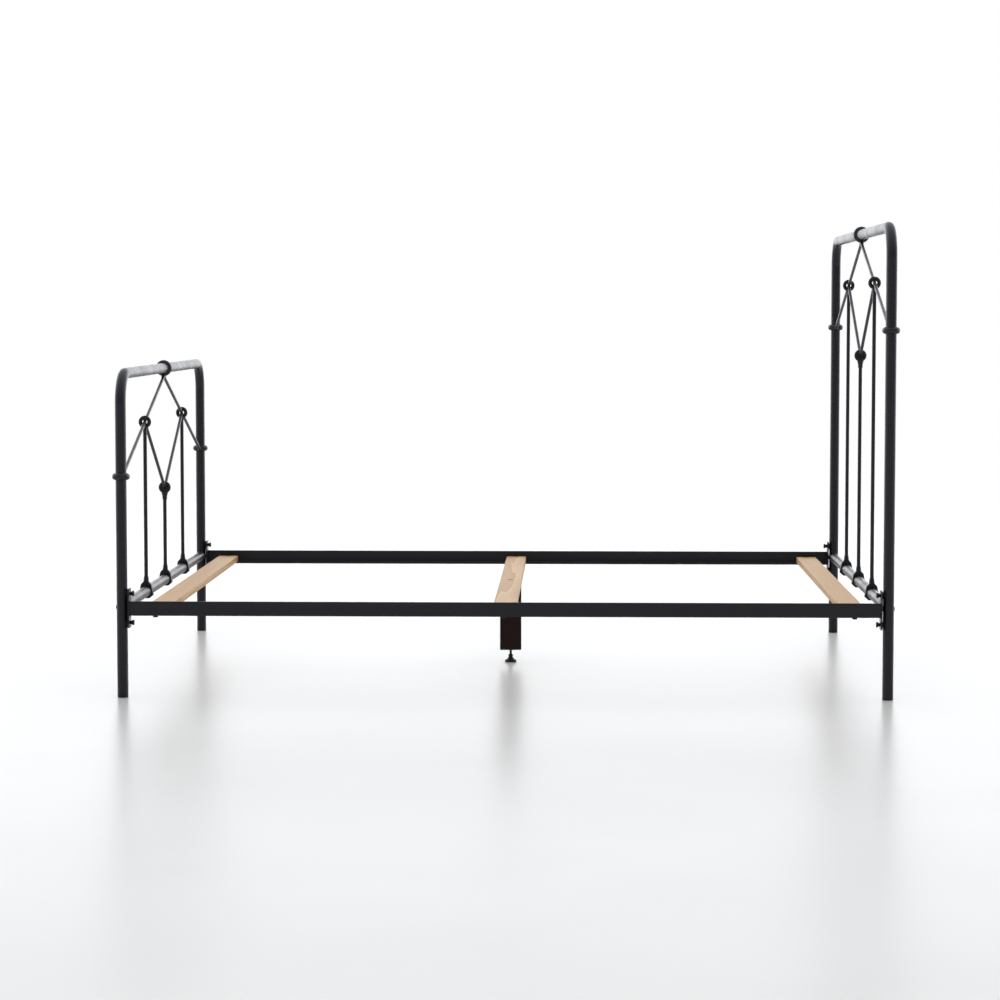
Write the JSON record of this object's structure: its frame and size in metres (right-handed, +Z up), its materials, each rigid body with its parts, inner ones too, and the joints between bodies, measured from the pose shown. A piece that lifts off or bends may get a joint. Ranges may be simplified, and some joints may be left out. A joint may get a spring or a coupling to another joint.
{
  "type": "bed frame",
  "caption": "Low-footboard metal bed frame: bent-tube end panels with cast collars, diagonal rods and spindles, bolted angle rails, wooden slats and a levelling centre leg.",
  "frame": {"origin": "on the floor under the middle of the frame", "axes": "+X along the bed towards the head end, +Y towards the left side seen from the foot end, +Z up"},
  "size_m": [2.1486, 1.6386, 1.3143],
  "materials": {
    "powder_coat": "satin black powder coat on steel tube, rod and angle",
    "painted_casting": "satin black powder coat over rounded, slightly rough castings",
    "black_hardware": "black-finished steel fasteners",
    "zinc_steel": "bright zinc plate",
    "black_plastic": "fine-textured moulded plastic",
    "slat_wood": "planed softwood, unfinished",
    "leg_wood": "dark brown stained wood, satin"
  },
  "bodies": {
    "frame": {"centre_leg": "leg_wood", "foot_crossbar": "powder_coat", "foot_hoop": "powder_coat", "foot_inner_diagonal_left": "powder_coat", "foot_inner_diagonal_right": "powder_coat", "foot_knuckle_centre": "painted_casting", "foot_knuckle_left": "painted_casting", "foot_knuckle_right": "painted_casting", "foot_outer_diagonal_left": "powder_coat", "foot_outer_diagonal_right": "powder_coat", "foot_post_collar_left": "painted_casting", "foot_post_collar_right": "painted_casting", "foot_post_glides": "black_plastic", "foot_spindle_centre": "powder_coat", "foot_spindle_left": "powder_coat", "foot_spindle_right": "powder_coat", "foot_spindle_shoes": "painted_casting", "foot_thread_inserts": "zinc_steel", "foot_top_collar": "painted_casting", "head_crossbar": "powder_coat", "head_hoop": "powder_coat", "head_inner_diagonal_left": "powder_coat", "head_inner_diagonal_right": "powder_coat", "head_knuckle_centre": "painted_casting", "head_knuckle_left": "painted_casting", "head_knuckle_right": "painted_casting", "head_outer_diagonal_left": "powder_coat", "head_outer_diagonal_right": "powder_coat", "head_post_collar_left": "painted_casting", "head_post_collar_right": "painted_casting", "head_post_glides": "black_plastic", "head_spindle_centre": "powder_coat", "head_spindle_left": "powder_coat", "head_spindle_right": "powder_coat", "head_spindle_shoes": "painted_casting", "head_thread_inserts": "zinc_steel", "head_top_collar": "painted_casting", "leg_bolt": "black_hardware", "leg_insert": "zinc_steel", "leveller_insert": "zinc_steel", "rail_bolts": "black_hardware", "rail_plate_foot_left": "powder_coat", "rail_plate_foot_right": "powder_coat", "rail_plate_head_left": "powder_coat", "rail_plate_head_right": "powder_coat", "saddle_spacers": "black_plastic", "side_rail_left": "powder_coat", "side_rail_right": "powder_coat", "slat_bolts": "black_hardware", "slat_foot": "slat_wood", "slat_head": "slat_wood", "slat_middle": "slat_wood", "slat_nuts": "black_hardware"},
    "leveller_base": {"leveller_base": "black_plastic"},
    "leveller_stem": {"leveller_stem": "black_hardware"}
  },
  "joints": [
    {"name": "leveller_height", "type": "slide", "parent": "frame", "child": "leveller_base", "axis": [0, 0, -1], "range_m": [-0.01, 0.02]},
    {"name": "stem_turn", "type": "hinge", "parent": "leveller_base", "child": "leveller_stem", "pos_m": [0, 0, 0.01], "axis": [0, 0, -1], "range_deg": [-2890, 5770]}
  ],
  "couplings": [
    {"joint": "stem_turn", "follows": "leveller_height", "rad_per_m": 5026.5}
  ]
}
